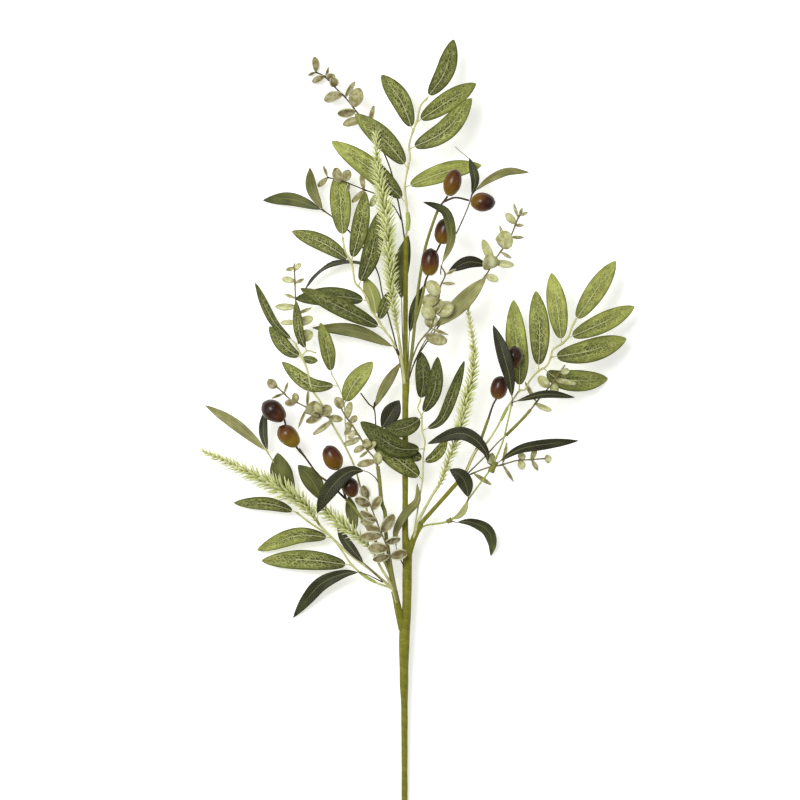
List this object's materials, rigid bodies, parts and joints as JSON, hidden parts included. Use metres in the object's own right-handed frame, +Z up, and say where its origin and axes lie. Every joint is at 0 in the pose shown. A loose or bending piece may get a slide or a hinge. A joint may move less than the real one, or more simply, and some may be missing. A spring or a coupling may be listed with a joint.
{
  "type": "olive branch with fruit",
  "caption": "Artificial olive spray: a taped wire stem carrying glossy olives, veined and dark cloth leaves, frosted eucalyptus twigs and bristly plumes, lying on its back.",
  "frame": {"origin": "bottom centre of the whole spray's box, on the surface it lies on", "axes": "+Y runs from the cut end of the stem to the tip, +X to the right seen from above, +Z up out of the spray's face"},
  "size_m": [0.3882, 0.7142, 0.0702],
  "materials": {
    "stem_tape": "satin waxed floral tape, wound",
    "veined_leaf": "printed cloth, matte",
    "dark_leaf": "coated cloth, soft sheen",
    "brown_twig": "moulded, matte",
    "olive_skin": "lacquered, glossy",
    "eucalyptus": "frosted, matte",
    "plume": "soft bristle, matte"
  },
  "bodies": {
    "root": {"taped_stem": "stem_tape", "top_leaf_sprig": "veined_leaf", "upper_left_leaf_sprig": "veined_leaf", "low_left_leaf_sprig": "veined_leaf", "high_left_leaf_sprig": "veined_leaf", "centre_leaf_sprig": "veined_leaf", "right_leaf_sprig": "veined_leaf", "top_dark_leaf_pair": "dark_leaf", "olive_leaf_pair_top": "dark_leaf", "olive_leaf_pair_left": "dark_leaf", "centre_left_leaf": "dark_leaf", "right_leaf_wire": "brown_twig", "olive_leaf_top_2": "dark_leaf", "olive_leaf_top_3": "dark_leaf", "olive_leaf_top_4": "dark_leaf", "olive_leaf_top_5": "dark_leaf", "olive_leaf_top_6": "dark_leaf", "olive_leaf_top_7": "dark_leaf", "olive_leaf_top_8": "dark_leaf", "olive_leaf_left_3": "dark_leaf", "olive_leaf_left_4": "dark_leaf", "olive_leaf_left_5": "dark_leaf", "olive_leaf_left_6": "dark_leaf", "olive_leaf_left_7": "dark_leaf", "olive_leaf_left_8": "dark_leaf", "olive_leaf_centre_1": "dark_leaf", "olive_leaf_centre_2": "dark_leaf", "olive_leaf_right_1": "dark_leaf", "olive_leaf_right_2": "dark_leaf", "olive_leaf_right_3": "dark_leaf", "olive_leaf_right_4": "dark_leaf", "olive_leaf_right_5": "dark_leaf", "olive_leaf_right_6": "dark_leaf", "top_fruit_stem": "brown_twig", "left_fruit_stem": "brown_twig", "right_fruit_stem": "brown_twig", "olive_top_1": "olive_skin", "olive_top_2": "olive_skin", "olive_top_3": "olive_skin", "olive_top_4": "olive_skin", "olive_left_1": "olive_skin", "olive_left_2": "olive_skin", "olive_left_3": "olive_skin", "olive_left_4": "olive_skin", "olive_right_1": "olive_skin", "olive_right_2": "olive_skin", "eucalyptus_top_1": "eucalyptus", "eucalyptus_top_2": "eucalyptus", "eucalyptus_top_3": "eucalyptus", "eucalyptus_top_4": "eucalyptus", "eucalyptus_left_1": "eucalyptus", "eucalyptus_left_2": "eucalyptus", "eucalyptus_left_3": "eucalyptus", "eucalyptus_left_4": "eucalyptus", "eucalyptus_right_1": "eucalyptus", "eucalyptus_right_2": "eucalyptus", "plume_top": "plume", "plume_left_long": "plume", "plume_left_short": "plume", "plume_right": "plume"}
  },
  "joints": []
}
